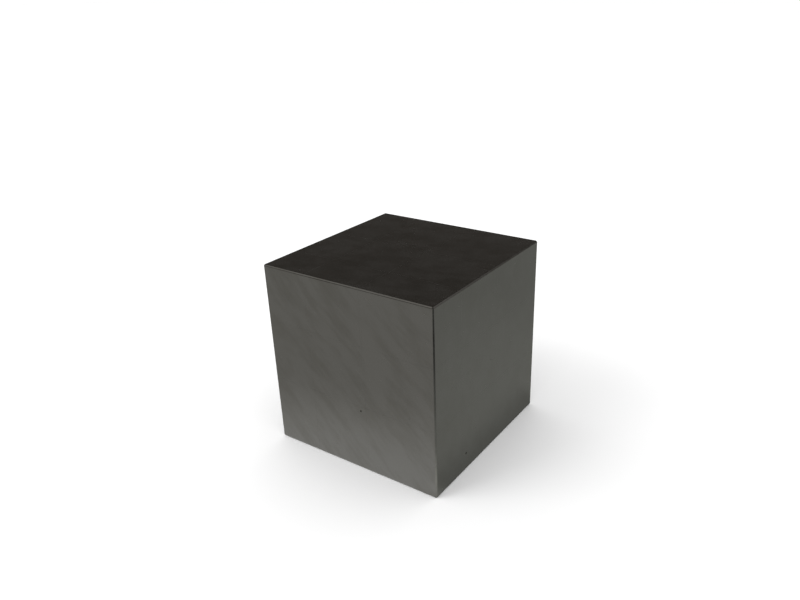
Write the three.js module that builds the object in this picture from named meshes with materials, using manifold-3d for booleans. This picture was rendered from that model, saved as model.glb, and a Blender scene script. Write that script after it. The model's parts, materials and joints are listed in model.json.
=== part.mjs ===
// A mirror block puzzle in bare polished steel: a 3 x 3 x 3 twisting cube whose layers differ in
// thickness, so that its 26 blocks differ in size. At rest they make one plain cube with hairline cuts.
//
// Lengths are in millimetres. +Z is up, -Y is the front and +X is the right. The origin is in the
// middle of the underside. Everything is made around the centre of the core, and the last group
// carries it to its place.

import * as THREE from 'three';
import { ConvexGeometry } from 'three/addons/geometries/ConvexGeometry.js';
import { mergeVertices } from 'three/addons/utils/BufferGeometryUtils.js';
import Module from 'manifold-3d';

// The cube.
const CUBE_SIDE = 57;
const EDGE_CHAMFER = 0.4;
const MIDDLE_LAYER = 19;
const LEFT_LAYER = 15;
const FRONT_LAYER = 13;
const BOTTOM_LAYER = 21;
const CUT_WIDTH = 0.012;

// The track that the feet run in: a ball-shaped gap between the outer blocks and the feet.
const TRACK_RADIUS = 19;
const TRACK_GAP = 0.3;
const FOOT_MIDDLE_LAYER = 12;
const FOOT_GAP = 0.2;

// The core.
const CORE_RADIUS = 8.5;
const CORE_ACROSS_FLATS = 16.2;
const CORE_CLEARANCE_RADIUS = 9;
const CORE_HOLE_RADIUS = 1.3;
const CORE_HOLE_END = 4.5;

// Distances along each stem, from the centre of the core.
const STEM_SHOULDER = 11;
const STEM_TOP = 20;
const SCREW_TIP = 5;
const WASHER_BOTTOM = 15.6;
const WASHER_TOP = 16.1;
const SCREW_HEAD_BOTTOM = 16.12;
const SCREW_HEAD_TOP = 18.1;

// Radii and widths about each stem's axis.
const STEM_HOLE_RADIUS = 1.35;
const STEM_BORE_RADIUS = 2.75;
const KEY_RECESS_WIDTH = 5.6;
const KEY_RECESS_DEPTH = 1.2;
const KEY_CLEARANCE = 0.05;
const SCREW_RADIUS = 1.25;
const SCREW_HEAD_RADIUS = 2.35;
const SCREW_EDGE = 0.35;
const SOCKET_RADIUS = 1.15;
const SOCKET_DEPTH = 1.2;
const WASHER_HOLE_RADIUS = 1.35;
const WASHER_RADIUS = 2.5;
const SPRING_RADIUS = 2;
const SPRING_WIRE_RADIUS = 0.3;
const SPRING_TURNS = 4.5;
const SPRING_SEAT_GAP = 0.05;

// How finely round surfaces are divided.
const TRACK_SEGMENTS = 36;
const CORE_SEGMENTS = 24;
const ROUND_SEGMENTS = 20;
const SPRING_STEPS_PER_TURN = 12;
const WIRE_SIDES = 6;

const FAR = 2 * CUBE_SIDE;
const CORE_CENTRE = new THREE.Vector3(
  LEFT_LAYER + MIDDLE_LAYER / 2 - CUBE_SIDE / 2,
  FRONT_LAYER + MIDDLE_LAYER / 2 - CUBE_SIDE / 2,
  BOTTOM_LAYER + MIDDLE_LAYER / 2,
);
const CUBE_CENTRE = new THREE.Vector3(0, 0, CUBE_SIDE / 2).sub(CORE_CENTRE);

const FINISHES = {
  block: { color: 0x8c8b88, roughness: 0.28, metalness: 1 },
  stem: { color: 0x9a9996, roughness: 0.4, metalness: 1 },
  core: { color: 0xb08d57, roughness: 0.4, metalness: 1 },
  screw: { color: 0x5c5a58, roughness: 0.35, metalness: 1 },
  spring: { color: 0xa5a5a2, roughness: 0.3, metalness: 1 },
  washer: { color: 0x8d8c8a, roughness: 0.35, metalness: 1 },
};

const FACES = {
  left: { axis: 'x', sign: -1 },
  right: { axis: 'x', sign: 1 },
  front: { axis: 'y', sign: -1 },
  back: { axis: 'y', sign: 1 },
  bottom: { axis: 'z', sign: -1 },
  top: { axis: 'z', sign: 1 },
};

const wasm = await Module();
wasm.setup();

// ----------------------------------------------------------------------------- joining and cutting

function solidFrom(geometry) {
  geometry.deleteAttribute('normal');
  geometry.deleteAttribute('uv');
  const merged = mergeVertices(geometry);
  return new wasm.Manifold(new wasm.Mesh({
    numProp: 3,
    vertProperties: new Float32Array(merged.attributes.position.array),
    triVerts: new Uint32Array(merged.index.array),
  }));
}

function geometryFrom(solid) {
  const mesh = solid.getMesh();
  const geometry = new THREE.BufferGeometry();
  geometry.setAttribute('position', new THREE.BufferAttribute(mesh.vertProperties, 3));
  geometry.setIndex(new THREE.BufferAttribute(mesh.triVerts, 1));
  geometry.computeVertexNormals();
  return geometry;
}

function meshOf(name, geometry, finish) {
  const mesh = new THREE.Mesh(geometry, new THREE.MeshStandardMaterial(FINISHES[finish]));
  mesh.name = name;
  return mesh;
}

// ------------------------------------------------------------------------------------ plain shapes

function ball(radius, segments) {
  return solidFrom(new THREE.SphereGeometry(radius, segments, segments / 2));
}

// A box between two heights on the Z axis.
function post(width, low, high) {
  const geometry = new THREE.BoxGeometry(width, width, high - low);
  geometry.translate(0, 0, (low + high) / 2);
  return solidFrom(geometry);
}

// A cylinder between two heights on the Z axis.
function rod(radius, low, high, sides = ROUND_SEGMENTS) {
  const geometry = new THREE.CylinderGeometry(radius, radius, high - low, sides);
  geometry.rotateX(Math.PI / 2);
  geometry.translate(0, 0, (low + high) / 2);
  return solidFrom(geometry);
}

// The outside of the whole cube, with every edge chamfered.
function chamferedCube() {
  const outer = CUBE_SIDE / 2;
  const inner = outer - EDGE_CHAMFER;
  const points = [];
  for (const x of [-1, 1]) {
    for (const y of [-1, 1]) {
      for (const z of [-1, 1]) {
        points.push(new THREE.Vector3(x * outer, y * inner, z * inner));
        points.push(new THREE.Vector3(x * inner, y * outer, z * inner));
        points.push(new THREE.Vector3(x * inner, y * inner, z * outer));
      }
    }
  }
  const geometry = new ConvexGeometry(points);
  geometry.translate(CUBE_CENTRE.x, CUBE_CENTRE.y, CUBE_CENTRE.z);
  return solidFrom(geometry);
}

// ------------------------------------------------------------------------------------------ blocks

// The stretch of one axis that a layer holds: place is -1, 0 or 1, and middle is the middle layer's
// thickness.
function layerSpan(place, middle, gap) {
  if (place === 0) {
    return [-(middle - gap) / 2, (middle - gap) / 2];
  }
  const near = (middle + gap) / 2;
  return place > 0 ? [near, FAR] : [-FAR, -near];
}

function cell(place, middle, gap) {
  const spans = ['x', 'y', 'z'].map((axis) => layerSpan(place[axis], middle, gap));
  const sizes = spans.map(([low, high]) => high - low);
  const centres = spans.map(([low, high]) => (low + high) / 2);
  const geometry = new THREE.BoxGeometry(...sizes);
  geometry.translate(...centres);
  return solidFrom(geometry);
}

// One piece of the 3 x 3 x 3 array: its outer block, its foot inside the track, and the neck that
// joins them.
function pieceAt(place) {
  const blockCell = cell(place, MIDDLE_LAYER, CUT_WIDTH);
  const footCell = cell(place, FOOT_MIDDLE_LAYER, FOOT_GAP);
  const block = blockCell.subtract(ball(TRACK_RADIUS + TRACK_GAP / 2, TRACK_SEGMENTS));
  const foot = footCell.intersect(ball(TRACK_RADIUS - TRACK_GAP / 2, TRACK_SEGMENTS));
  const neck = blockCell.intersect(footCell);
  return block.add(foot).add(neck).subtract(ball(CORE_CLEARANCE_RADIUS, CORE_SEGMENTS));
}

function placeName(place) {
  const words = Object.entries(FACES).filter(([, face]) => place[face.axis] === face.sign);
  const order = { z: 0, y: 1, x: 2 };
  words.sort(([, a], [, b]) => order[a.axis] - order[b.axis]);
  return words.map(([word]) => word).join('_');
}

function edgeAndCornerBlocks() {
  const outside = chamferedCube();
  const blocks = [];
  for (const z of [1, 0, -1]) {
    for (const y of [-1, 0, 1]) {
      for (const x of [-1, 0, 1]) {
        const place = { x, y, z };
        const sides = Math.abs(x) + Math.abs(y) + Math.abs(z);
        if (sides >= 2) {
          const kind = sides === 2 ? 'edge' : 'corner';
          const geometry = geometryFrom(pieceAt(place).intersect(outside));
          blocks.push(meshOf(`${kind}_${placeName(place)}`, geometry, 'block'));
        }
      }
    }
  }
  return blocks;
}

// -------------------------------------------- the centre of each face, made with its axis along +Z

// The stem turns on its screw. The spring sits on the shoulder in its bore, and its flange covers the
// feet of the edge blocks.
function stemGeometry() {
  const body = pieceAt({ x: 0, y: 0, z: 1 }).intersect(post(MIDDLE_LAYER, 0, STEM_TOP));
  const hole = rod(STEM_HOLE_RADIUS, 0, STEM_TOP);
  const bore = rod(STEM_BORE_RADIUS, STEM_SHOULDER, STEM_TOP + 1);
  const recess = post(KEY_RECESS_WIDTH, STEM_TOP - KEY_RECESS_DEPTH, STEM_TOP + 1);
  return geometryFrom(body.subtract(hole).subtract(bore).subtract(recess));
}

// The block closes the stem's bore, and its square spigot keys it to the stem.
function centreBlockGeometry(faceDistance) {
  const block = post(MIDDLE_LAYER - CUT_WIDTH, STEM_TOP + CUT_WIDTH, faceDistance);
  const spigotWidth = KEY_RECESS_WIDTH - 2 * KEY_CLEARANCE;
  const spigotEnd = STEM_TOP - KEY_RECESS_DEPTH + 2 * KEY_CLEARANCE;
  return geometryFrom(block.add(post(spigotWidth, spigotEnd, STEM_TOP + 1)));
}

function screwGeometry() {
  const profile = [
    [0, SCREW_TIP],
    [SCREW_RADIUS - SCREW_EDGE, SCREW_TIP],
    [SCREW_RADIUS, SCREW_TIP + SCREW_EDGE],
    [SCREW_RADIUS, SCREW_HEAD_BOTTOM],
    [SCREW_HEAD_RADIUS, SCREW_HEAD_BOTTOM],
    [SCREW_HEAD_RADIUS, SCREW_HEAD_TOP - SCREW_EDGE],
    [SCREW_HEAD_RADIUS - SCREW_EDGE, SCREW_HEAD_TOP],
    [0, SCREW_HEAD_TOP],
  ].map(([radius, height]) => new THREE.Vector2(radius, height));
  const lathe = new THREE.LatheGeometry(profile, ROUND_SEGMENTS);
  lathe.rotateX(Math.PI / 2);
  const socket = rod(SOCKET_RADIUS, SCREW_HEAD_TOP - SOCKET_DEPTH, SCREW_HEAD_TOP + 1, 6);
  return geometryFrom(solidFrom(lathe).subtract(socket));
}

function washerGeometry() {
  const disc = rod(WASHER_RADIUS, WASHER_BOTTOM, WASHER_TOP);
  return geometryFrom(disc.subtract(rod(WASHER_HOLE_RADIUS, 0, STEM_TOP)));
}

class SpringCurve extends THREE.Curve {
  getPoint(t, target = new THREE.Vector3()) {
    const endGap = SPRING_WIRE_RADIUS + SPRING_SEAT_GAP;
    const angle = 2 * Math.PI * SPRING_TURNS * t;
    const height = THREE.MathUtils.lerp(STEM_SHOULDER + endGap, WASHER_BOTTOM - endGap, t);
    return target.set(SPRING_RADIUS * Math.cos(angle), SPRING_RADIUS * Math.sin(angle), height);
  }
}

function springGeometry() {
  const wire = new THREE.Shape();
  for (let side = 0; side < WIRE_SIDES; side += 1) {
    const angle = (2 * Math.PI * side) / WIRE_SIDES;
    const point = [SPRING_WIRE_RADIUS * Math.cos(angle), SPRING_WIRE_RADIUS * Math.sin(angle)];
    if (side === 0) {
      wire.moveTo(...point);
    } else {
      wire.lineTo(...point);
    }
  }
  return new THREE.ExtrudeGeometry(wire, {
    steps: Math.round(SPRING_TURNS * SPRING_STEPS_PER_TURN),
    extrudePath: new SpringCurve(),
    bevelEnabled: false,
  });
}

// The stem, block, screw, washer and spring of one face, in a group that points them at that face.
function faceGroup(name, face) {
  const faceDistance = CUBE_SIDE / 2 + face.sign * CUBE_CENTRE[face.axis];
  const direction = new THREE.Vector3();
  direction[face.axis] = face.sign;
  const group = new THREE.Group();
  group.quaternion.setFromUnitVectors(new THREE.Vector3(0, 0, 1), direction);
  group.add(
    meshOf(`centre_block_${name}`, centreBlockGeometry(faceDistance), 'block'),
    meshOf(`centre_stem_${name}`, stemGeometry(), 'stem'),
    meshOf(`screw_${name}`, screwGeometry(), 'screw'),
    meshOf(`washer_${name}`, washerGeometry(), 'washer'),
    meshOf(`spring_${name}`, springGeometry(), 'spring'),
  );
  return group;
}

// -------------------------------------------------------------------------------------------- core

function tappedHole(turn) {
  const geometry = new THREE.CylinderGeometry(
    CORE_HOLE_RADIUS,
    CORE_HOLE_RADIUS,
    CORE_RADIUS - CORE_HOLE_END,
    ROUND_SEGMENTS,
  );
  geometry.rotateX(Math.PI / 2);
  geometry.translate(0, 0, (CORE_RADIUS + CORE_HOLE_END) / 2);
  geometry.applyQuaternion(new THREE.Quaternion().setFromEuler(turn));
  return solidFrom(geometry);
}

function coreGeometry() {
  const flats = post(CORE_ACROSS_FLATS, -CORE_ACROSS_FLATS / 2, CORE_ACROSS_FLATS / 2);
  let core = ball(CORE_RADIUS, CORE_SEGMENTS).intersect(flats);
  for (const turn of [0, Math.PI / 2, Math.PI, -Math.PI / 2]) {
    core = core.subtract(tappedHole(new THREE.Euler(0, turn, 0)));
  }
  for (const turn of [-Math.PI / 2, Math.PI / 2]) {
    core = core.subtract(tappedHole(new THREE.Euler(turn, 0, 0)));
  }
  return geometryFrom(core);
}

// -------------------------------------------------------------------------------------- the puzzle

const puzzle = new THREE.Group();
puzzle.position.copy(CORE_CENTRE);
puzzle.add(meshOf('core', coreGeometry(), 'core'));
for (const [name, face] of Object.entries(FACES)) {
  puzzle.add(faceGroup(name, face));
}
puzzle.add(...edgeAndCornerBlocks());

const part = new THREE.Group();
part.add(puzzle);

export default part;
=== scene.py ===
"""The looks of the steel mirror block cube: its 51 finished pieces, metals, stage and camera."""

import json
import math
import random

import bmesh
import bpy
from mathutils import Euler, Matrix, Vector


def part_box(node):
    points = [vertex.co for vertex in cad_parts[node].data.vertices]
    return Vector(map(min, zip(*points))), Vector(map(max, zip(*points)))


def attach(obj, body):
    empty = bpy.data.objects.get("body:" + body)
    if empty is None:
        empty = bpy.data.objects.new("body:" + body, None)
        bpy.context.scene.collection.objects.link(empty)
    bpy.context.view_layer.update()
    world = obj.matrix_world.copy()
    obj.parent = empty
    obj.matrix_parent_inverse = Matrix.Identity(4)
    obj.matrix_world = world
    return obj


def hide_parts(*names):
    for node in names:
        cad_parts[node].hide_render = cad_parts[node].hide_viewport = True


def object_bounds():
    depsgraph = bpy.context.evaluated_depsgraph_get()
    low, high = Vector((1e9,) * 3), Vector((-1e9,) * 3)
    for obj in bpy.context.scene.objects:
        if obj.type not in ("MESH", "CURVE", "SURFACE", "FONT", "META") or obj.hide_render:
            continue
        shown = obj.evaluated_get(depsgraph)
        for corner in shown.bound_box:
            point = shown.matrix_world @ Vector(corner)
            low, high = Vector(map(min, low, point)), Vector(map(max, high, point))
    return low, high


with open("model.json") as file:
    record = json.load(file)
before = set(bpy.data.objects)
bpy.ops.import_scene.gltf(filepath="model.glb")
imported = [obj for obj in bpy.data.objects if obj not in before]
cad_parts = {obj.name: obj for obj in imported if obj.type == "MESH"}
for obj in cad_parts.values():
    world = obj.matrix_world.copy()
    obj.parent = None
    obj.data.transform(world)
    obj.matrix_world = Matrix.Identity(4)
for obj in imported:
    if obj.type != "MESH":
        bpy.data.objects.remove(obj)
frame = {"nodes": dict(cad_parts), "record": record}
CAD_LOW, CAD_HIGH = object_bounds()

MM = 0.001
SIDE = CAD_HIGH.z - CAD_LOW.z
CUBE_CENTRE = (CAD_LOW + CAD_HIGH) / 2
CORE_CENTRE = sum(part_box("core"), Vector()) / 2

# Dimensions of the mechanism, as in the CAD model.
BALL_RADII = (19.15 * MM, 18.85 * MM, 9.0 * MM, 8.5 * MM)
BALL_FACET_DEPTH = 0.16 * MM
EDGE_CHAMFER = 0.4 * MM
# Everything this near to the outside of the cube belongs to a face or a chamfer.
OUTSIDE_DEPTH = EDGE_CHAMFER * 1.1

# The camera. Its place is in cube sides from the middle of the underside, and its angles are in degrees.
CAMERA_PLACE = Vector((2.002, -2.7485, 2.2265))
CAMERA_HEADING = 34.03
CAMERA_PITCH = -24.17
CAMERA_ROLL = -1.2
CAMERA_LENS = 31.96
CAMERA_SHIFT = (-0.0375, 0.00625)

# The pieces on each stem's axis, in millimetres from the core's centre: low and high ends, then radii.
SCREW_TIP = 5.0
SCREW_RADIUS = 1.25
SCREW_HEAD = (16.12, 18.1, 2.35)
SOCKET_ACROSS_FLATS = 2.0
SOCKET_DEPTH = 1.1
THREAD_PITCH = 0.45
THREAD_DEPTH = 0.24
THREAD_END = 9.5
WASHER = (15.6, 16.1, 1.35, 2.5)
SPRING = (11.05, 15.55, 2.0, 0.3)
SPRING_TURNS = 4.5
WIRE_SIDES = 12
THREAD_STEPS_PER_TURN = 8
WIRE_STEPS_PER_TURN = 40
SCREW_TIP_TAPER = 0.72
SCREW_FILLET = 0.12
SCREW_HEAD_ROUNDING = 0.5
SOCKET_EDGE = 0.08
WASHER_EDGE = 0.06
CLOSED_TURN_RISE = 1.02
QUARTER_TURN = [math.pi / 2 * i / 5 for i in range(6)]
UP = Vector((0, 0, 1))

# Finishing the meshes. Turns are the angles between the two faces at an edge, in degrees.
WELD_DISTANCE = 0.002 * MM
FLAT_TURN = 0.6
ARRIS_WIDTH = 0.1 * MM
CHAMFER_TURNS = (25, 80)
STEM_EDGE = 0.15 * MM
SHARP_TURN = 70
SHORT_EDGE = 1.2 * MM
SMOOTH_TURN = 32
TURNED_SMOOTH_TURN = 40
FLAT_AREA = 4.0 * MM**2
FLAT_EDGE_TURN = 8

# A block's material slots.
POLISH_SLOT, GROUND_SLOT, PIT_SLOT = range(3)

# The pits' seed, and in widths their depth and how far the cutter's middle stands outside.
PIT_SEED = 7
PIT_DEPTH = 0.24
PIT_LIFT = 0.15

# Pits in each face: across and up the face, from 0 to 1, and the pit's width in millimetres.
PITS = {
    "top": [(0.49, 0.60, 1.1), (0.77, 0.24, 0.22), (0.18, 0.35, 0.18)],
    "front": [(0.565, 0.345, 0.7), (0.28, 0.68, 0.26), (0.345, 0.47, 0.22), (0.855, 0.40, 0.26),
              (0.45, 0.23, 0.2)],
    "right": [(0.27, 0.10, 0.85), (0.51, 0.52, 0.34), (0.72, 0.75, 0.2)],
}
RANDOM_PITS_ON_OTHER_FACES = 5

# The stage. Only reflections see the room, its windows and a glowing card with a painted reflection of the
# floor.
FLOOR_HALF = 12
FLOOR_GREY = 0.9
SURROUND = 1.12
# the glowing card with the painted floor reflection: how far under the floor it lies, and its base glow
PAINTED_REFLECTION_DEPTH = 0.2 * MM
PAINTED_REFLECTION_GLOW = 0.30
# where the card's painted dark area of shade and its painted glint lie, in millimetres
PAINTED_SHADE_PLACE = (112.0, -84.0, 0.0)
GLINT_PLACE = (36.0, -34.0, 0.0)
ROOM_LOW = (0.066, 0.059, 0.052, 1)
ROOM_HIGH = (0.035, 0.031, 0.027, 1)
# Windows: azimuth and elevation in degrees, and colour. They fade out between two angles from the middle.
WINDOWS = [(-49, 46, (0.30, 0.29, 0.27, 1)), (128, 32, (0.28, 0.27, 0.26, 1))]
WINDOW_FADE = (30, 10)
KEY_PLACE = (-0.35, -0.45, 0.6)
KEY_SIDE = 0.4
KEY_POWER = 1.8


def is_block(name):
    return name.startswith(("corner_", "edge_", "centre_block_"))


# ------------------------------------------------------------------------------------------- camera

def make_camera():
    camera = bpy.data.objects.new("camera", bpy.data.cameras.new("camera"))
    bpy.context.scene.collection.objects.link(camera)
    turn = Euler((math.radians(90 + CAMERA_PITCH), 0, math.radians(CAMERA_HEADING))).to_matrix()
    roll = Matrix.Rotation(math.radians(CAMERA_ROLL), 3, "Z")
    camera.matrix_world = Matrix.Translation(CAMERA_PLACE * SIDE) @ (turn @ roll).to_4x4()
    camera.data.lens = CAMERA_LENS
    camera.data.shift_x, camera.data.shift_y = CAMERA_SHIFT
    camera.data.clip_start, camera.data.clip_end = 0.005, 50
    bpy.context.scene.camera = camera


# -------------------------------------------------------------------------------------------- nodes

class Nodes:
    """A short way to write a node tree: each call adds a node and returns an output of it to pass on."""

    def __init__(self, tree):
        self.tree = tree
        tree.nodes.clear()

    def put(self, value, socket):
        if isinstance(value, bpy.types.NodeSocket):
            self.tree.links.new(value, socket)
        else:
            socket.default_value = value

    def add(self, kind, inputs=None, output=0, **settings):
        node = self.tree.nodes.new(kind)
        for name, value in settings.items():
            setattr(node, name, value)
        for key, value in (inputs or {}).items():
            self.put(value, node.inputs[key])
        return node.outputs[output] if node.outputs else node

    def math(self, operation, a, b=0.0, clamp=False):
        return self.add("ShaderNodeMath", {0: a, 1: b}, operation=operation, use_clamp=clamp)

    def span(self, value, low, high, to_low=0.0, to_high=1.0):
        inputs = {"Value": value, "From Min": low, "From Max": high, "To Min": to_low, "To Max": to_high}
        return self.add("ShaderNodeMapRange", inputs, interpolation_type="SMOOTHSTEP")

    def noise(self, vector, scale, detail, roughness=0.5):
        inputs = {"Vector": vector, "Scale": scale, "Detail": detail, "Roughness": roughness}
        return self.add("ShaderNodeTexNoise", inputs)

    def mix(self, factor, a, b):
        node = self.tree.nodes.new("ShaderNodeMix")
        node.data_type = "RGBA"
        for value, socket in ((factor, node.inputs[0]), (a, node.inputs[6]), (b, node.inputs[7])):
            self.put(value, socket)
        return node.outputs[2]

    def place_mm(self, origin):
        """The point on the piece at rest, in millimetres from origin."""
        place = self.add("ShaderNodeTexCoord", output=3)
        moved = self.add("ShaderNodeVectorMath", {0: place, 1: tuple(origin)}, operation="SUBTRACT")
        return self.add("ShaderNodeVectorMath", {0: moved, "Scale": 1 / MM}, operation="SCALE")

    def stretched(self, vector, direction, width, length):
        """Coordinates for a noise whose marks run along direction."""
        turn = Vector(direction).to_track_quat("X", "Z").inverted().to_euler()
        turned = self.add("ShaderNodeMapping", {"Vector": vector, "Rotation": tuple(turn)})
        scale = (1 / length, 1 / width, 1 / width)
        return self.add("ShaderNodeMapping", {"Vector": turned, "Scale": scale})

    def distance(self, place, point):
        return self.add("ShaderNodeVectorMath", {0: place, 1: point}, output=1, operation="DISTANCE")

    def bump(self, height, depth):
        return self.add("ShaderNodeBump", {"Height": height, "Distance": depth, "Strength": 1.0})

    def metal(self, color, roughness, normal=None):
        inputs = {"Base Color": color, "Metallic": 1.0, "Roughness": roughness}
        if normal is not None:
            inputs["Normal"] = normal
        shader = self.add("ShaderNodeBsdfPrincipled", inputs)
        self.add("ShaderNodeOutputMaterial", {"Surface": shader})


def new_material(name):
    material = bpy.data.materials.new(name)
    material.use_nodes = True
    return material, Nodes(material.node_tree)


def grey(level, warmth=0.06):
    return (level, level * (1 - warmth * 0.25), level * (1 - warmth), 1)


# ---------------------------------------------------------------------------------------- materials

def polished_steel():
    """The outside of the blocks: a soft mirror with wipe marks, stains, fine lines and worn edges."""
    material, n = new_material("polished_steel")
    place = n.place_mm(CUBE_CENTRE)
    wipe_direction = (1.0, 0.35, -0.95)
    cloud = n.noise(place, 0.045, 4.0, 0.5)
    wipes = n.noise(n.stretched(place, wipe_direction, 4.5, 38.0), 1.0, 3.0, 0.55)
    streaks = n.noise(n.stretched(place, wipe_direction, 1.1, 17.0), 1.0, 2.0, 0.6)
    lines = n.noise(n.stretched(place, wipe_direction, 0.22, 9.0), 1.0, 2.0, 0.6)
    mottle = n.noise(place, 0.55, 3.0, 0.6)
    # small stains, where this noise is high
    stains = n.span(n.noise(n.stretched(place, wipe_direction, 1.1, 2.4), 1.0, 2.0), 0.68, 0.8)

    # how near a point is to an edge of the cube: the second largest of its three distances from the middle
    parts = n.add("ShaderNodeSeparateXYZ", {0: place}).node.outputs
    x, y, z = (n.math("ABSOLUTE", part) for part in parts)
    largest = n.math("MAXIMUM", x, n.math("MAXIMUM", y, z))
    smallest = n.math("MINIMUM", x, n.math("MINIMUM", y, z))
    total = n.math("ADD", x, n.math("ADD", y, z))
    second = n.math("SUBTRACT", n.math("SUBTRACT", total, largest), smallest)
    half = SIDE / 2 / MM
    rim = n.span(second, half - 0.7, half + 0.05)
    worn = n.math("MULTIPLY", rim, n.span(n.noise(place, 0.16, 3.0, 0.6), 0.38, 0.62, 0.15, 0.9))
    # the left and right faces get weaker wipe strokes, which also makes their colour somewhat darker
    on_side = n.span(x, half - 0.6, half - 0.5)
    wiped = n.span(on_side, 0.0, 1.0, 0.85, 0.3)

    tone = n.math("MULTIPLY", n.span(cloud, 0.3, 0.7), 0.3)
    strokes = n.math("ADD", n.span(wipes, 0.3, 0.7), n.span(streaks, 0.3, 0.7, 0.0, 0.32))
    tone = n.math("ADD", tone, n.math("MULTIPLY", strokes, wiped))
    tone = n.math("ADD", tone, n.math("MULTIPLY", n.span(mottle, 0.3, 0.7), 0.12))
    tone = n.math("SUBTRACT", tone, n.math("MULTIPLY", stains, 0.4), clamp=True)
    color = n.mix(tone, grey(0.272, 0.08), grey(0.322, 0.05))
    color = n.mix(worn, color, grey(0.36, 0.05))

    rough = n.span(cloud, 0.3, 0.7, 0.17, 0.21)
    rough = n.math("ADD", rough, n.span(wipes, 0.35, 0.65, -0.02, 0.03))
    rough = n.math("ADD", rough, n.span(streaks, 0.35, 0.65, -0.008, 0.012))
    rough = n.math("ADD", rough, n.span(lines, 0.3, 0.7, -0.01, 0.02))
    rough = n.math("ADD", rough, n.math("MULTIPLY", stains, 0.10))
    n.metal(color, rough, n.bump(lines, 0.0007 * MM))
    return material


def ground_steel():
    """The faces that slide on each other, with the fine rings that turning wears into them."""
    material, n = new_material("ground_steel")
    place = n.place_mm(CORE_CENTRE)
    radius = n.add("ShaderNodeVectorMath", {0: place}, output=1, operation="LENGTH")
    rings = n.add("ShaderNodeTexNoise", {"W": radius, "Scale": 9.0, "Detail": 4.0}, noise_dimensions="1D")
    bands = n.add("ShaderNodeTexNoise", {"W": radius, "Scale": 0.7, "Detail": 2.0}, noise_dimensions="1D")
    grain = n.noise(place, 3.0, 3.0, 0.6)
    tone = n.math("ADD", n.math("MULTIPLY", rings, 0.6), n.math("MULTIPLY", bands, 0.5), clamp=True)
    color = n.mix(tone, grey(0.235, 0.08), grey(0.345, 0.06))
    rough = n.math("ADD", n.span(rings, 0.3, 0.7, 0.24, 0.36), n.span(grain, 0.3, 0.7, -0.02, 0.04))
    n.metal(color, rough, n.bump(rings, 0.002 * MM))
    return material


def pit_steel():
    """The inside of a pit: dull and somewhat darker than the polish around it."""
    material, n = new_material("pit_steel")
    grain = n.noise(n.place_mm(CUBE_CENTRE), 12.0, 3.0, 0.6)
    n.metal(n.mix(grain, grey(0.14, 0.15), grey(0.24, 0.1)), n.span(grain, 0.3, 0.7, 0.45, 0.7))
    return material


def turned_metal(name, dark, light, rough_low, rough_high, line_scale=6.0):
    """A turned, drawn or stamped metal with fine lines round the core's centre, and mottling."""
    material, n = new_material(name)
    place = n.place_mm(CORE_CENTRE)
    radius = n.add("ShaderNodeVectorMath", {0: place}, output=1, operation="LENGTH")
    inputs = {"W": radius, "Scale": line_scale, "Detail": 3.0}
    lines = n.add("ShaderNodeTexNoise", inputs, noise_dimensions="1D")
    cloud = n.noise(place, 0.6, 4.0, 0.6)
    tone = n.math("ADD", n.math("MULTIPLY", cloud, 0.6), n.math("MULTIPLY", lines, 0.4), clamp=True)
    rough = n.span(n.math("ADD", cloud, lines), 0.7, 1.3, rough_low, rough_high)
    n.metal(n.mix(tone, dark, light), rough, n.bump(lines, 0.003 * MM))
    return material


# --------------------------------------------------------------------------------------- mesh tools

def cad_bmesh(name):
    """A CAD node's mesh with its flat faces made whole."""
    bm = bmesh.new()
    bm.from_mesh(frame["nodes"][name].data)
    bmesh.ops.remove_doubles(bm, verts=bm.verts, dist=WELD_DISTANCE)
    bmesh.ops.dissolve_limit(bm, angle_limit=math.radians(FLAT_TURN), verts=bm.verts, edges=bm.edges)
    return bm


def on_ball(vert, radius):
    """Whether a vertex lies on a ball about the core's centre, or on its flat facets just inside."""
    distance = (vert.co - CORE_CENTRE).length
    return radius - BALL_FACET_DEPTH < distance < radius + BALL_FACET_DEPTH / 8


def other_normals(vert, ball_faces):
    """The directions of the flat faces that meet at a vertex on a ball."""
    found = []
    for face in vert.link_faces:
        if face not in ball_faces and all(abs(face.normal.dot(other)) < 0.99 for other in found):
            found.append(face.normal.copy())
    return found


def pull_to_ball(vert, radius, normals):
    """Moves a vertex onto the true ball, without leaving the flat faces that it belongs to."""
    offset = vert.co - CORE_CENTRE
    if not normals:
        vert.co = CORE_CENTRE + offset.normalized() * radius
    elif len(normals) == 1:
        height = offset.dot(normals[0])
        flat = offset - normals[0] * height
        vert.co = CORE_CENTRE + normals[0] * height + flat.normalized() * math.sqrt(radius**2 - height**2)
    elif len(normals) == 2:
        line = normals[0].cross(normals[1]).normalized()
        along = offset.dot(line)
        rest = offset - line * along
        reach = math.sqrt(radius**2 - rest.length_squared)
        vert.co = CORE_CENTRE + rest + line * math.copysign(reach, along)


def round_ball(bm, radius):
    """Divides the flat facets that lie on a ball about the core's centre, and pulls them onto it."""
    faces = [f for f in bm.faces if all(on_ball(v, radius) for v in f.verts)]
    if not faces:
        return
    made = bmesh.ops.triangulate(bm, faces=faces)["faces"]
    edges = list({e for f in made for e in f.edges})
    bmesh.ops.subdivide_edges(bm, edges=edges, cuts=1, use_grid_fill=True)
    bm.normal_update()
    ball_faces = {f for f in bm.faces if all(on_ball(v, radius) for v in f.verts)}
    moves = {v: other_normals(v, ball_faces) for f in ball_faces for v in f.verts}
    for vert, normals in moves.items():
        pull_to_ball(vert, radius, normals)


def skin_depth(point):
    """How far a point is under the outside of the cube."""
    offset = point - CUBE_CENTRE
    return SIDE / 2 - max(abs(offset.x), abs(offset.y), abs(offset.z))


def is_rim(vert):
    """Whether a vertex belongs to a ball or to a round hole, where many faces meet in short steps."""
    if any(on_ball(vert, radius) for radius in BALL_RADII):
        return True
    return sum(e.calc_length() < SHORT_EDGE for e in vert.link_edges) > 1


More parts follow.
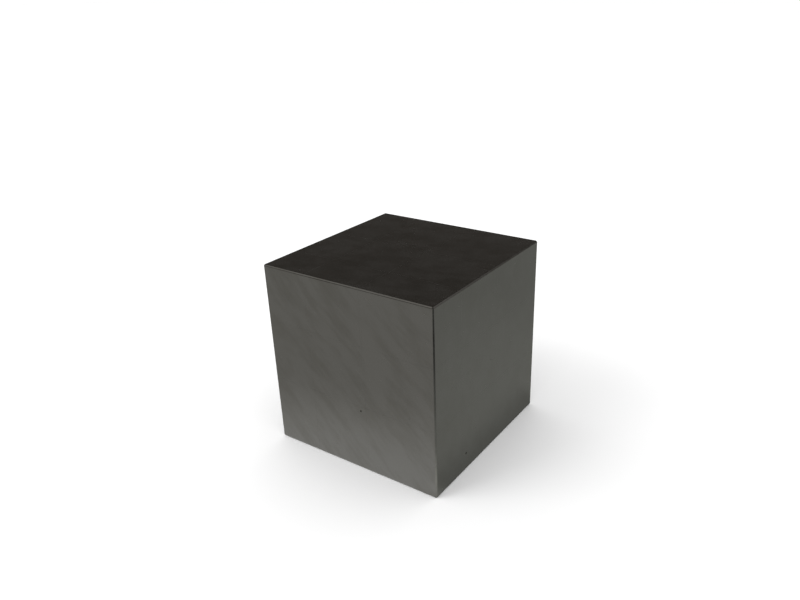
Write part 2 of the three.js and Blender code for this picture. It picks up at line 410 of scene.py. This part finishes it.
def object_from(bm, name, materials):
    mesh = bpy.data.meshes.new(name)
    bm.to_mesh(mesh)
    bm.free()
    for material in materials:
        mesh.materials.append(material)
    obj = bpy.data.objects.new(name, mesh)
    bpy.context.scene.collection.objects.link(obj)
    return obj


def apply_modifiers(obj):
    graph = bpy.context.evaluated_depsgraph_get()
    mesh = bpy.data.meshes.new_from_object(obj.evaluated_get(graph))
    obj.modifiers.clear()
    obj.data = mesh


def shade_smooth(mesh, sharp_turn):
    """Smooth shading, except where an edge turns by sharp_turn or more or borders a wide flat face."""
    bm = bmesh.new()
    bm.from_mesh(mesh)
    for face in bm.faces:
        face.smooth = True
    for edge in bm.edges:
        turn = math.degrees(edge.calc_face_angle(0))
        beside_flat = turn > FLAT_EDGE_TURN and any(f.calc_area() > FLAT_AREA for f in edge.link_faces)
        edge.smooth = edge.is_manifold and turn < sharp_turn and not beside_flat
    bm.to_mesh(mesh)
    bm.free()


# --------------------------------------------------------------------------------------------- pits

FACES = {
    "top": (Vector((0, 0, 1)), Vector((1, 0, 0))),
    "bottom": (Vector((0, 0, -1)), Vector((-1, 0, 0))),
    "front": (Vector((0, -1, 0)), Vector((1, 0, 0))),
    "back": (Vector((0, 1, 0)), Vector((-1, 0, 0))),
    "right": (Vector((1, 0, 0)), Vector((0, 1, 0))),
    "left": (Vector((-1, 0, 0)), Vector((0, -1, 0))),
}


def pit_list(face, draw):
    if face in PITS:
        return PITS[face]
    places = range(RANDOM_PITS_ON_OTHER_FACES)
    return [(draw.uniform(0.06, 0.94), draw.uniform(0.06, 0.94), draw.uniform(0.18, 0.5)) for _ in places]


def make_pit_cutter():
    """One mesh of small lens-shaped balls that stand in the cube's faces where the pits are."""
    draw = random.Random(PIT_SEED)
    bm = bmesh.new()
    for face, (out, across) in FACES.items():
        up = out.cross(across)
        for u, v, width in pit_list(face, draw):
            centre = CUBE_CENTRE + (out / 2 + across * (u - 0.5) + up * (v - 0.5)) * SIDE
            # the ball's middle stands a little outside the face, so that no vertex of it lies in the face
            centre += out * width * MM * PIT_DEPTH * PIT_LIFT
            spin = Matrix.Rotation(draw.uniform(0, math.pi), 3, out)
            frame_of_pit = spin @ Matrix((across, up, out)).transposed()
            narrow = draw.uniform(0.65, 0.95)
            size = Matrix.Diagonal((width * MM / 2, width * MM / 2 * narrow, width * MM * PIT_DEPTH))
            move = Matrix.Translation(centre) @ (frame_of_pit @ size).to_4x4()
            bmesh.ops.create_icosphere(bm, subdivisions=3, radius=1.0, matrix=move)
    return object_from(bm, "pit_cutter", [PIT])


def cut_pits(obj, cutter):
    cut = obj.modifiers.new("pits", "BOOLEAN")
    cut.operation = "DIFFERENCE"
    cut.solver = "EXACT"
    cut.material_mode = "TRANSFER"
    cut.object = cutter
    apply_modifiers(obj)


# ------------------------------------------------------------------------------------------- blocks

def mark_bevels(mesh):
    """Marks the arrises of the outer chamfers. The rims of the cuts stay sharp."""
    bm = bmesh.new()
    bm.from_mesh(mesh)
    weight = bm.edges.layers.float.new("bevel_weight_edge")
    low, high = CHAMFER_TURNS
    for edge in bm.edges:
        if not edge.is_manifold or any(f.material_index == PIT_SLOT for f in edge.link_faces):
            continue
        outside = all(skin_depth(v.co) < OUTSIDE_DEPTH for v in edge.verts)
        if outside and low < math.degrees(edge.calc_face_angle(0)) < high:
            edge[weight] = 1.0
    bm.to_mesh(mesh)
    bm.free()


def bevel(obj):
    """Rounds the marked edges, each by its weight times the width of an arris."""
    made = obj.modifiers.new("arrises", "BEVEL")
    made.limit_method = "WEIGHT"
    made.width = ARRIS_WIDTH
    made.segments = 2
    apply_modifiers(obj)


def level_normals(obj):
    """Makes big flat faces shade flat, and leaves the turn to the narrow faces beside them."""
    made = obj.modifiers.new("normals", "WEIGHTED_NORMAL")
    made.mode = "FACE_AREA"
    made.weight = 50
    made.thresh = 0.01
    made.keep_sharp = True
    apply_modifiers(obj)


def paint_block(mesh):
    """Puts the polish on the outside, and the ground finish on the faces of the cuts and the foot."""
    for face in mesh.polygons:
        if face.material_index != PIT_SLOT:
            points = [mesh.vertices[i].co for i in face.vertices]
            outside = all(skin_depth(p) < OUTSIDE_DEPTH for p in points)
            face.material_index = POLISH_SLOT if outside else GROUND_SLOT


def make_block(name, cutter):
    bm = cad_bmesh(name)
    for radius in BALL_RADII:
        round_ball(bm, radius)
    obj = object_from(bm, name + "_finished", [STEEL, GROUND, PIT])
    cut_pits(obj, cutter)
    paint_block(obj.data)
    mark_bevels(obj.data)
    bevel(obj)
    shade_smooth(obj.data, SMOOTH_TURN)
    level_normals(obj)
    return obj


def mark_stem_edges(mesh):
    """Marks the long sharp edges between flat faces of a stem or the core for a small bevel."""
    bm = bmesh.new()
    bm.from_mesh(mesh)
    weight = bm.edges.layers.float.new("bevel_weight_edge")
    for edge in bm.edges:
        long_and_convex = edge.is_manifold and edge.is_convex and edge.calc_length() > SHORT_EDGE
        if long_and_convex and math.degrees(edge.calc_face_angle(0)) > SHARP_TURN:
            if not any(is_rim(v) for v in edge.verts):
                edge[weight] = STEM_EDGE / ARRIS_WIDTH
    bm.to_mesh(mesh)
    bm.free()


# -------------------------------------------------------------------------------- the pieces inside

def revolve(name, rings, material, closed=False, segments=48):
    """A turned shape from rings of (height, radius). It has a pole at each end, unless it closes on itself.

    A radius may be a function of the angle and the height.
    """
    bm = bmesh.new()
    rows = []
    for height, radius in rings:
        row = []
        for step in range(segments):
            angle = 2 * math.pi * step / segments
            reach = radius(angle, height) if callable(radius) else radius
            row.append(bm.verts.new((reach * math.cos(angle), reach * math.sin(angle), height)))
        rows.append(row)
    pairs = list(zip(rows, rows[1:]))
    if closed:
        pairs.append((rows[-1], rows[0]))
    for lower, upper in pairs:
        for i in range(segments):
            j = (i + 1) % segments
            bm.faces.new((lower[i], lower[j], upper[j], upper[i]))
    if not closed:
        for row, height in ((rows[0], rings[0][0]), (rows[-1], rings[-1][0])):
            pole = bm.verts.new((0, 0, height))
            for i in range(segments):
                bm.faces.new((row[i], row[(i + 1) % segments], pole))
    bmesh.ops.recalc_face_normals(bm, faces=bm.faces)
    return object_from(bm, name, [material])


def set_along(obj, face):
    """Moves a piece made round the Z axis, in millimetres, onto the axis of one face of the cube."""
    out, across = FACES[face]
    turn = Matrix((across, out.cross(across), out)).transposed()
    obj.data.transform(Matrix.Translation(CORE_CENTRE) @ (turn * MM).to_4x4())


def hexagon(across_flats):
    """The radius of a hexagonal hole, by the angle."""
    def radius(angle, _height):
        return across_flats / 2 / math.cos((angle + math.pi / 6) % (math.pi / 3) - math.pi / 6)
    return radius


def thread(angle, height):
    """The radius of a 60 degree thread, which runs out at both ends."""
    turn = (height / THREAD_PITCH - angle / (2 * math.pi)) % 1.0
    depth = THREAD_DEPTH * abs(2 * turn - 1)
    run_out = min(1.0, (height - SCREW_TIP) / THREAD_PITCH, (THREAD_END - height) / THREAD_PITCH)
    return SCREW_RADIUS - depth * max(0.0, run_out)


def make_screw(face):
    steps = round((THREAD_END - SCREW_TIP) / THREAD_PITCH * THREAD_STEPS_PER_TURN)
    rings = [(SCREW_TIP, SCREW_RADIUS * SCREW_TIP_TAPER)]
    rings += [(SCREW_TIP + 0.02 + (THREAD_END - SCREW_TIP) * i / steps, thread) for i in range(steps + 1)]
    low, high, wide = SCREW_HEAD
    rings += [(low - SCREW_FILLET, SCREW_RADIUS), (low, SCREW_RADIUS + 0.08)]
    rings += [(low, wide - SCREW_FILLET), (low + SCREW_FILLET, wide)]
    dome = SCREW_HEAD_ROUNDING
    rings += [(high - dome * (1 - math.sin(a)), wide - dome * (1 - math.cos(a))) for a in QUARTER_TURN]
    rings += [(high, hexagon(SOCKET_ACROSS_FLATS + 2 * SOCKET_EDGE))]
    rings += [(high - SOCKET_EDGE, hexagon(SOCKET_ACROSS_FLATS))]
    rings += [(high - SOCKET_DEPTH, hexagon(SOCKET_ACROSS_FLATS)), (high - SOCKET_DEPTH - 0.1, 0.4)]
    return revolve(f"screw_{face}_finished", rings, METALS["screw_steel"])


def make_washer(face):
    low, high, inner, outer = WASHER
    edge = WASHER_EDGE
    rings = [(low, inner + edge), (low, outer - edge), (low + edge, outer), (high - edge, outer)]
    rings += [(high, outer - edge), (high, inner + edge), (high - edge, inner), (low + edge, inner)]
    return revolve(f"washer_{face}_finished", rings, METALS["washer_steel"], closed=True, segments=64)


def spring_height(turn):
    """How high the wire stands after a number of turns: the first and last turns lie closed."""
    low, high, _, wire = SPRING
    dead_rise = 2 * wire * CLOSED_TURN_RISE
    live_rise = (high - low - 2 * wire - 2 * dead_rise) / (SPRING_TURNS - 2)
    live = min(max(turn - 1, 0), SPRING_TURNS - 2)
    return low + wire + (turn - live) * dead_rise + live * live_rise


def make_spring(face):
    _, _, radius, wire = SPRING
    bm = bmesh.new()
    rows = []
    steps = round(SPRING_TURNS * WIRE_STEPS_PER_TURN)
    for step in range(steps + 1):
        turn = SPRING_TURNS * step / steps
        angle = 2 * math.pi * turn
        outward = Vector((math.cos(angle), math.sin(angle), 0))
        centre = outward * radius + Vector((0, 0, spring_height(turn)))
        ring = []
        for side in range(WIRE_SIDES):
            around = 2 * math.pi * side / WIRE_SIDES
            ring.append(bm.verts.new(centre + (outward * math.cos(around) + UP * math.sin(around)) * wire))
        rows.append(ring)
    for lower, upper in zip(rows, rows[1:]):
        for i in range(WIRE_SIDES):
            j = (i + 1) % WIRE_SIDES
            bm.faces.new((lower[i], lower[j], upper[j], upper[i]))
    bm.faces.new(rows[0])
    bm.faces.new(rows[-1])
    bmesh.ops.recalc_face_normals(bm, faces=bm.faces)
    return object_from(bm, f"spring_{face}_finished", [METALS["spring_steel"]])


def make_from_cad(name, metal):
    """The stems and the core keep the CAD shape, with true balls and broken edges."""
    bm = cad_bmesh(name)
    for radius in BALL_RADII:
        round_ball(bm, radius)
    obj = object_from(bm, name + "_finished", [METALS[metal]])
    mark_stem_edges(obj.data)
    bevel(obj)
    shade_smooth(obj.data, SMOOTH_TURN)
    level_normals(obj)
    return obj


INNER_MAKERS = {"screw": make_screw, "washer": make_washer, "spring": make_spring}


def make_inner(name):
    kind, _, face = name.partition("_")
    if kind in INNER_MAKERS:
        obj = INNER_MAKERS[kind](face)
        shade_smooth(obj.data, TURNED_SMOOTH_TURN)
        set_along(obj, face)
        return obj
    return make_from_cad(name, slot_of_node(name))


def body_of_node(name):
    return next(body for body, nodes in frame["record"]["behaviour"]["bodies"].items() if name in nodes)


def slot_of_node(name):
    return next(row["material_slot"] for row in frame["record"]["subparts"] if row["node"] == name)


def install(obj, name):
    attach(obj, body_of_node(name))
    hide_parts(name)


# -------------------------------------------------------------------------------------------- stage

def link_stage(obj):
    bpy.context.scene.collection.objects.link(obj)
    return obj


def plane_mesh(name, half):
    mesh = bpy.data.meshes.new(name)
    corners = [(-half, -half, 0), (half, -half, 0), (half, half, 0), (-half, half, 0)]
    mesh.from_pydata(corners, [], [(0, 1, 2, 3)])
    return mesh


def make_floor():
    floor = link_stage(bpy.data.objects.new("floor", plane_mesh("floor", FLOOR_HALF)))
    material, n = new_material("floor_paper")
    shader = n.add("ShaderNodeBsdfDiffuse", {"Color": (FLOOR_GREY, FLOOR_GREY, FLOOR_GREY, 1)})
    n.add("ShaderNodeOutputMaterial", {"Surface": shader})
    floor.data.materials.append(material)
    floor.visible_glossy = False


def make_painted_floor_reflection():
    """A glowing card, seen only in reflections, with a painted reflection of the floor: lit in front of the
    cube, and dimmer behind it.
    """
    mesh = plane_mesh("painted_floor_reflection", FLOOR_HALF)
    card = link_stage(bpy.data.objects.new("painted_floor_reflection", mesh))
    card.location.z = -PAINTED_REFLECTION_DEPTH
    for kind in ("camera", "diffuse", "transmission", "volume_scatter", "shadow"):
        setattr(card, "visible_" + kind, False)
    material, n = new_material("painted_floor_reflection")
    place = n.place_mm(Vector((0, 0, 0)))
    x, y, _ = n.add("ShaderNodeSeparateXYZ", {0: place}).node.outputs
    out_x = n.math("SUBTRACT", n.math("ABSOLUTE", x), SIDE / MM / 2)
    out_y = n.math("SUBTRACT", n.math("ABSOLUTE", y), SIDE / MM / 2)
    away = n.math("MAXIMUM", out_x, out_y)
    # 0 on the shaded side, and 1 on the lit side
    lit = n.span(n.math("ADD", x, y), -9.0, 9.0, 1.0, 0.0)
    shaded = n.math("SUBTRACT", 1.0, lit)
    # a painted pool of light on the lit side, strongest next to the cube
    narrowing = n.span(x, -55.0, 20.0, 1.75, 1.0)
    pool = n.span(n.math("MULTIPLY", away, narrowing), -2.0, 55.0, 0.18, 0.0)
    # on the shaded side a painted contact shadow next to the cube, and painted shade that deepens further
    # out
    painted_contact_shadow = n.span(away, 0.0, 12.0, 0.10, 0.008)
    painted_far_shade = n.span(away, 25.0, 90.0, 0.0, 0.03)
    # a painted dark area of shade out in front to the right, and a painted glint by the nearest corner
    painted_shade = n.span(n.distance(place, PAINTED_SHADE_PLACE), 0.0, 95.0, 0.25, 0.0)
    glint = n.span(n.distance(place, GLINT_PLACE), 0.0, 15.0, 0.22, 0.0)
    glow = n.math("ADD", PAINTED_REFLECTION_GLOW, n.math("MULTIPLY", lit, pool))
    glow = n.math("SUBTRACT", glow, n.math("MULTIPLY", shaded, n.math("ADD", painted_contact_shadow, painted_far_shade)))
    glow = n.math("ADD", n.math("SUBTRACT", glow, painted_shade), glint)
    # the painted lit side a little warmer, the painted shaded side a little greener
    color = n.mix(lit, (0.975, 0.995, 0.93, 1), (1.0, 0.985, 0.925, 1))
    # a cooler painted light where the painted pool of light is bright
    cool = n.math("MULTIPLY", n.math("MULTIPLY", lit, pool), 2.2)
    color = n.mix(cool, color, (0.98, 1.0, 1.02, 1))
    shader = n.add("ShaderNodeEmission", {"Color": color, "Strength": glow})
    n.add("ShaderNodeOutputMaterial", {"Surface": shader})
    card.data.materials.append(material)


def make_world():
    """A white surround for the camera and the floor, and for the steel's reflections a dim room."""
    world = bpy.data.worlds.new("studio")
    bpy.context.scene.world = world
    world.use_nodes = True
    n = Nodes(world.node_tree)
    direction = n.add("ShaderNodeTexCoord", output=0)
    height = n.add("ShaderNodeSeparateXYZ", {0: direction}, output=2)
    room = n.mix(n.span(height, 0.0, 0.9), ROOM_LOW, ROOM_HIGH)
    edge, middle = (math.cos(math.radians(angle)) for angle in WINDOW_FADE)
    for azimuth, elevation, color in WINDOWS:
        rise = math.radians(elevation)
        toward = Euler((0, 0, math.radians(azimuth))).to_matrix() @ Vector((0, -1, 0))
        toward = toward * math.cos(rise) + UP * math.sin(rise)
        inputs = {0: direction, 1: tuple(toward)}
        facing = n.add("ShaderNodeVectorMath", inputs, output=1, operation="DOT_PRODUCT")
        room = n.mix(n.span(facing, edge, middle), room, color)
    reflected = n.add("ShaderNodeLightPath").node.outputs["Is Glossy Ray"]
    white = n.add("ShaderNodeBackground", {"Color": (1, 1, 1, 1), "Strength": SURROUND})
    dim = n.add("ShaderNodeBackground", {"Color": room, "Strength": 1.0})
    shader = n.add("ShaderNodeMixShader", {0: reflected, 1: white, 2: dim})
    n.add("ShaderNodeOutputWorld", {"Surface": shader})


def make_key_light():
    """One large soft light, for the shadow on the floor."""
    data = bpy.data.lights.new("key", "AREA")
    data.shape = "RECTANGLE"
    data.size = data.size_y = KEY_SIDE
    data.energy = KEY_POWER
    light = bpy.data.objects.new("key", data)
    bpy.context.scene.collection.objects.link(light)
    light.location = KEY_PLACE
    light.rotation_euler = (CUBE_CENTRE - Vector(KEY_PLACE)).to_track_quat("-Z", "Y").to_euler()
    light.visible_camera = False
    light.visible_glossy = False


# -------------------------------------------------------------------------------------- the picture

STEEL = polished_steel()
GROUND = ground_steel()
PIT = pit_steel()
METALS = {
    "ground_steel": GROUND,
    "brass_core": turned_metal("brass", (0.42, 0.29, 0.12, 1), (0.66, 0.50, 0.25, 1), 0.22, 0.38),
    "screw_steel": turned_metal("screw_steel", grey(0.10), grey(0.20), 0.28, 0.42, 9.0),
    "washer_steel": turned_metal("washer_steel", grey(0.38), grey(0.55), 0.22, 0.36, 12.0),
    "spring_steel": turned_metal("spring_steel", grey(0.42), grey(0.62), 0.15, 0.28, 15.0),
}

make_camera()
pit_cutter = make_pit_cutter()
for node_name in frame["nodes"]:
    if is_block(node_name):
        install(make_block(node_name, pit_cutter), node_name)
    else:
        install(make_inner(node_name), node_name)
bpy.data.objects.remove(pit_cutter)

make_floor()
make_painted_floor_reflection()
make_world()
make_key_light()

bpy.context.scene.view_settings.view_transform = "Standard"
